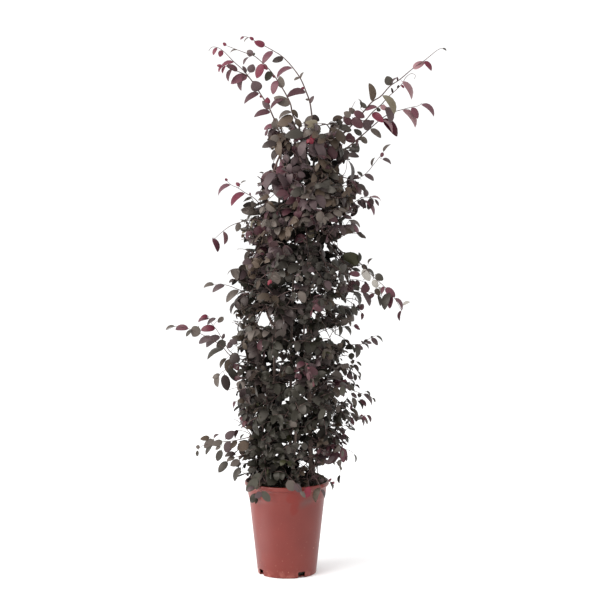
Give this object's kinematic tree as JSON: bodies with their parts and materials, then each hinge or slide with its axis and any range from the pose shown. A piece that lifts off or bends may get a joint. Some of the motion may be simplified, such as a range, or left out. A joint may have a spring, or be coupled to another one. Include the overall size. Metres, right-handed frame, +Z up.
{
  "type": "potted chinese fringe flower",
  "caption": "Slim purple-leaved shrub with upright stems, leafy masses in tiers and long arching head shoots, in a round tapered nursery pot filled with soil.",
  "frame": {"origin": "centre of the pot's flat underside, on the surface that it stands on", "axes": "+Z up along the plant; the picture looks along +Y with +X to the right"},
  "size_m": [0.6492, 0.3648, 1.2763],
  "materials": {
    "pot": "terracotta-coloured moulded plastic with a soft sheen",
    "soil": "dark crumbly compost",
    "bark": "grey-brown bark",
    "foliage": "dark purplish green leaves, slightly glossy",
    "young_foliage": "burgundy young leaves, slightly glossy"
  },
  "bodies": {
    "root": {"pot": "pot", "soil": "soil", "trunk": "bark", "stem_left": "bark", "stem_back": "bark", "stem_front": "bark", "bough_top_left_2": "bark", "bough_top_right_1": "bark", "bough_top_right_2": "bark", "bough_1_right": "bark", "bough_1_back": "bark", "bough_1_left": "bark", "bough_2_left": "bark", "bough_2_front": "bark", "bough_2_right": "bark", "bough_3_back": "bark", "bough_3_left": "bark", "bough_4_left": "bark", "bough_4_front": "bark", "bough_4_right": "bark", "bough_5_right": "bark", "bough_5_left": "bark", "shoot_top_left_1": "young_foliage", "shoot_top_left_2": "young_foliage", "shoot_top_left_3": "young_foliage", "shoot_top_right_1": "young_foliage", "shoot_top_right_2": "young_foliage", "foliage_1_right": "foliage", "foliage_1_back": "foliage", "foliage_1_left": "foliage", "foliage_2_left": "foliage", "foliage_2_front": "foliage", "foliage_2_right": "foliage", "foliage_3_right": "foliage", "foliage_3_back": "foliage", "foliage_3_left": "foliage", "foliage_4_left": "foliage", "foliage_4_front": "foliage", "foliage_4_right": "foliage", "foliage_5_right": "foliage", "foliage_5_back": "foliage", "foliage_5_left": "foliage"}
  },
  "joints": []
}
